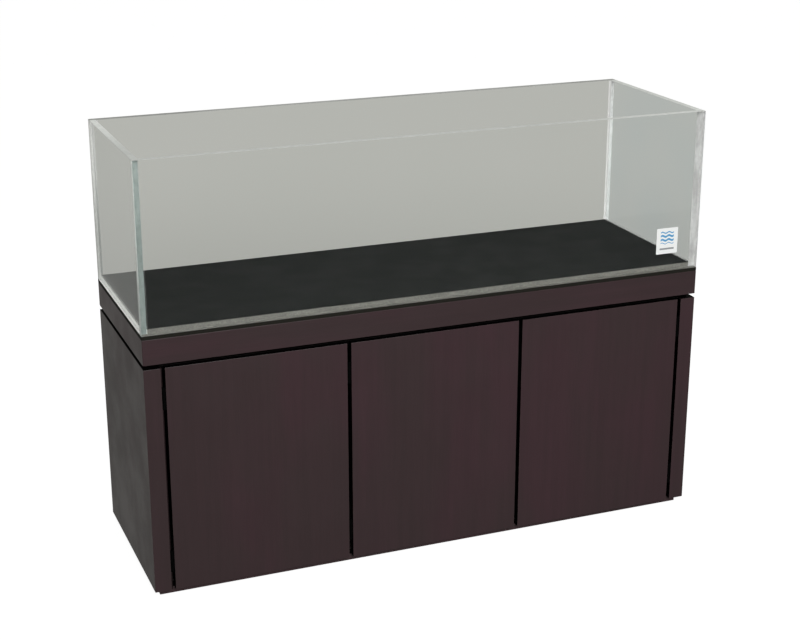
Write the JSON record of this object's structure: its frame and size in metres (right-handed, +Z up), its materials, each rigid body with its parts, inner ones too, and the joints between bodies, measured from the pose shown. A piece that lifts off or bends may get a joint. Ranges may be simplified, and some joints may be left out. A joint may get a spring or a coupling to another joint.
{
  "type": "aquarium stand cabinet",
  "caption": "Long dark laminated aquarium stand with plain flush doors, a shadow gap under a thick top, a black mat and a rimless open glass tank.",
  "frame": {"origin": "on the floor, at the middle of the footprint", "axes": "+X to the right along the length, +Y to the back (the doors face -Y), +Z up"},
  "size_m": [1.83, 0.6, 1.3515],
  "materials": {
    "laminate": "dark purple-brown wood-grain laminate, satin",
    "carcass": "black-brown faced board, matt",
    "mat": "black closed-cell levelling mat, matt",
    "glass": "clear low-iron glass with polished edges",
    "floor_sheet": "black sheet, satin",
    "hinge": "black powder coat",
    "pin": "blackened steel",
    "latch": "black moulded plastic",
    "plunger": "grey moulded plastic"
  },
  "bodies": {
    "stand": {"left_side_panel": "laminate", "right_side_panel": "laminate", "front_apron": "laminate", "back_apron": "laminate", "left_apron": "laminate", "right_apron": "laminate", "plinth_front_rail": "laminate", "plinth_back_rail": "laminate", "left_plinth_rail": "laminate", "right_plinth_rail": "laminate", "bottom_panel": "carcass", "upper_panel": "carcass", "left_divider": "carcass", "right_divider": "carcass", "back_panel": "carcass", "back_rail": "carcass", "neck_front_rail": "carcass", "neck_back_rail": "carcass", "left_neck_rail": "carcass", "right_neck_rail": "carcass", "top_box_floor": "carcass", "top_board": "carcass", "left_top_box_rib": "carcass", "right_top_box_rib": "carcass", "leveling_mat": "mat", "tank_base_pane": "glass", "tank_front_pane": "glass", "tank_back_pane": "glass", "tank_left_pane": "glass", "tank_right_pane": "glass", "tank_floor_sheet": "floor_sheet", "left_door_lower_hinge_fixed_leaf": "hinge", "left_door_lower_hinge_pin": "pin", "left_door_upper_hinge_fixed_leaf": "hinge", "left_door_upper_hinge_pin": "pin", "middle_door_lower_hinge_fixed_leaf": "hinge", "middle_door_lower_hinge_pin": "pin", "middle_door_upper_hinge_fixed_leaf": "hinge", "middle_door_upper_hinge_pin": "pin", "right_door_lower_hinge_fixed_leaf": "hinge", "right_door_lower_hinge_pin": "pin", "right_door_upper_hinge_fixed_leaf": "hinge", "right_door_upper_hinge_pin": "pin", "left_door_latch_housing": "latch", "middle_door_latch_housing": "latch", "right_door_latch_housing": "latch"},
    "left_door": {"left_door": "laminate", "left_door_lower_hinge_door_leaf": "hinge", "left_door_upper_hinge_door_leaf": "hinge"},
    "left_latch_plunger": {"left_door_latch_plunger": "plunger"},
    "middle_door": {"middle_door": "laminate", "middle_door_lower_hinge_door_leaf": "hinge", "middle_door_upper_hinge_door_leaf": "hinge"},
    "middle_latch_plunger": {"middle_door_latch_plunger": "plunger"},
    "right_door": {"right_door": "laminate", "right_door_lower_hinge_door_leaf": "hinge", "right_door_upper_hinge_door_leaf": "hinge"},
    "right_latch_plunger": {"right_door_latch_plunger": "plunger"}
  },
  "joints": [
    {"name": "left_door_hinge", "type": "hinge", "parent": "stand", "child": "left_door", "pos_m": [-0.8576, -0.2965, 0.378], "axis": [0, 0, -1], "range_deg": [0, 100]},
    {"name": "left_latch_press", "type": "slide", "parent": "stand", "child": "left_latch_plunger", "axis": [0, 1, 0], "range_m": [0, 0.003], "stiffness_N_per_m": 500},
    {"name": "middle_door_hinge", "type": "hinge", "parent": "stand", "child": "middle_door", "pos_m": [-0.28563, -0.2965, 0.378], "axis": [0, 0, -1], "range_deg": [0, 100]},
    {"name": "middle_latch_press", "type": "slide", "parent": "stand", "child": "middle_latch_plunger", "axis": [0, 1, 0], "range_m": [0, 0.003], "stiffness_N_per_m": 500},
    {"name": "right_door_hinge", "type": "hinge", "parent": "stand", "child": "right_door", "pos_m": [0.8576, -0.2965, 0.378], "axis": [0, 0, 1], "range_deg": [0, 100]},
    {"name": "right_latch_press", "type": "slide", "parent": "stand", "child": "right_latch_plunger", "axis": [0, 1, 0], "range_m": [0, 0.003], "stiffness_N_per_m": 500}
  ]
}
